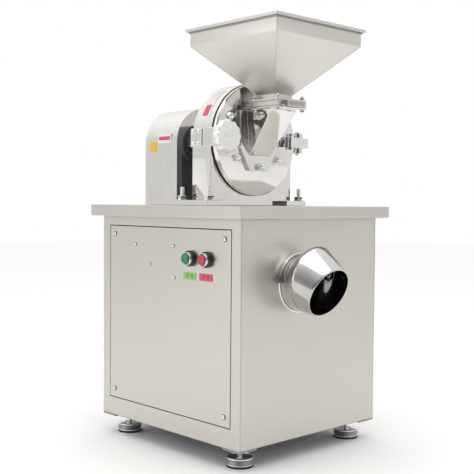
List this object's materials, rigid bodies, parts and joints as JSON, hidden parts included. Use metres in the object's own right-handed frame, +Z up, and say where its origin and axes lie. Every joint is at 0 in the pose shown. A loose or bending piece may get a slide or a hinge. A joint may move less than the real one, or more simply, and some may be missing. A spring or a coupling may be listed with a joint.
{
  "type": "hammer mill",
  "caption": "Grinding mill with a square hopper on a round hinged door, standing on a sheet-steel cabinet that holds its belt drive and has a slanted, tapered round outlet in front.",
  "frame": {"origin": "bottom centre of the bounding box, on the floor", "axes": "+Z up; -Y is the front with the door, hopper and outlet; -X is the side with the push buttons"},
  "size_m": [0.4952, 0.6252, 0.97],
  "materials": {
    "satin_steel": "satin stainless sheet",
    "polished_steel": "mirror-polished stainless",
    "chrome": "bright plated",
    "dark_steel": "machined and hardened steel",
    "aluminium": "polished cast aluminium",
    "cast_iron": "painted casting",
    "motor_paint": "semi-gloss enamel",
    "rubber": "matt",
    "black_plastic": "matt",
    "green_plastic": "gloss",
    "red_plastic": "gloss"
  },
  "bodies": {
    "cabinet": {"base_frame": "dark_steel", "screen": "dark_steel", "breaker_liner": "dark_steel", "motor_bed": "dark_steel", "hinge_pin": "dark_steel", "left_frame": "satin_steel", "service_panel": "satin_steel", "front_skin": "satin_steel", "right_skin": "satin_steel", "rear_skin": "satin_steel", "table_top": "satin_steel", "discharge_duct": "satin_steel", "outlet_ring": "polished_steel", "outlet_elbow": "polished_steel", "mill_housing": "polished_steel", "left_foot_plate": "polished_steel", "right_foot_plate": "polished_steel", "belt_guard": "polished_steel", "lock_lug": "polished_steel", "hinge_bracket": "polished_steel", "foot_front_left": "chrome", "foot_front_right": "chrome", "foot_rear_left": "chrome", "foot_rear_right": "chrome", "start_bezel": "chrome", "stop_bezel": "chrome", "front_bearing": "chrome", "rear_bearing": "chrome", "bearing_housing": "cast_iron", "motor": "motor_paint", "foot_sole_front_left": "rubber", "foot_sole_front_right": "rubber", "foot_sole_rear_left": "rubber", "foot_sole_rear_right": "rubber", "drive_belt": "rubber", "door_seal": "rubber", "cable_gland": "black_plastic", "start_contact_block": "black_plastic", "stop_contact_block": "black_plastic"},
    "door": {"door_disc": "polished_steel", "feed_chute": "polished_steel", "gate_frame": "satin_steel", "hopper": "satin_steel", "door_ear": "polished_steel", "hinge_arm": "chrome"},
    "gate": {"slide_gate": "satin_steel"},
    "lock_slider": {"lock_washer": "chrome"},
    "lock_knob": {"star_knob": "aluminium"},
    "start_cap": {"start_button": "green_plastic"},
    "stop_cap": {"stop_button": "red_plastic"},
    "rotor": {"spindle": "dark_steel", "rotor_hub": "dark_steel", "spindle_pulley": "cast_iron"},
    "motor_rotor": {"motor_shaft": "dark_steel", "motor_pulley": "cast_iron"},
    "hammer_body_1": {"hammer_1": "dark_steel"},
    "hammer_body_2": {"hammer_2": "dark_steel"},
    "hammer_body_3": {"hammer_3": "dark_steel"},
    "hammer_body_4": {"hammer_4": "dark_steel"}
  },
  "joints": [
    {"name": "door_swing", "type": "hinge", "parent": "cabinet", "child": "door", "pos_m": [0.152, -0.00699, 0.7165], "axis": [0, 0, 1], "range_deg": [0, 110]},
    {"name": "gate_slide", "type": "slide", "parent": "door", "child": "gate", "axis": [0, -1, 0], "range_m": [0, 0.06]},
    {"name": "lock_travel", "type": "slide", "parent": "door", "child": "lock_slider", "axis": [0, -1, 0], "range_m": [0, 0.0121]},
    {"name": "lock_turn", "type": "hinge", "parent": "lock_slider", "child": "lock_knob", "pos_m": [-0.146, -0.06499, 0.7165], "axis": [0, -1, 0], "range_deg": [0, 2160]},
    {"name": "start_press", "type": "slide", "parent": "cabinet", "child": "start_cap", "axis": [1, 0, 0], "range_m": [0, 0.004], "stiffness_N_per_m": 400, "springref_m": -0.002},
    {"name": "stop_press", "type": "slide", "parent": "cabinet", "child": "stop_cap", "axis": [1, 0, 0], "range_m": [0, 0.004], "stiffness_N_per_m": 400, "springref_m": -0.002},
    {"name": "rotor_spin", "type": "hinge", "parent": "cabinet", "child": "rotor", "pos_m": [0, 0.04501, 0.7165], "axis": [0, 1, 0], "continuous": true},
    {"name": "motor_spin", "type": "hinge", "parent": "cabinet", "child": "motor_rotor", "pos_m": [0, 0.14501, 0.19], "axis": [0, 1, 0], "continuous": true},
    {"name": "hammer_swing_1", "type": "hinge", "parent": "rotor", "child": "hammer_body_1", "pos_m": [0.04667, 0.02501, 0.76317], "axis": [0, 1, 0], "continuous": true},
    {"name": "hammer_swing_2", "type": "hinge", "parent": "rotor", "child": "hammer_body_2", "pos_m": [-0.04667, 0.02501, 0.76317], "axis": [0, 1, 0], "continuous": true},
    {"name": "hammer_swing_3", "type": "hinge", "parent": "rotor", "child": "hammer_body_3", "pos_m": [-0.04667, 0.02501, 0.66983], "axis": [0, 1, 0], "continuous": true},
    {"name": "hammer_swing_4", "type": "hinge", "parent": "rotor", "child": "hammer_body_4", "pos_m": [0.04667, 0.02501, 0.66983], "axis": [0, 1, 0], "continuous": true}
  ],
  "couplings": [
    {"joint": "lock_travel", "follows": "lock_turn", "m_per_rad": 0.00031831},
    {"joint": "motor_spin", "follows": "rotor_spin", "ratio": 0.64516}
  ]
}
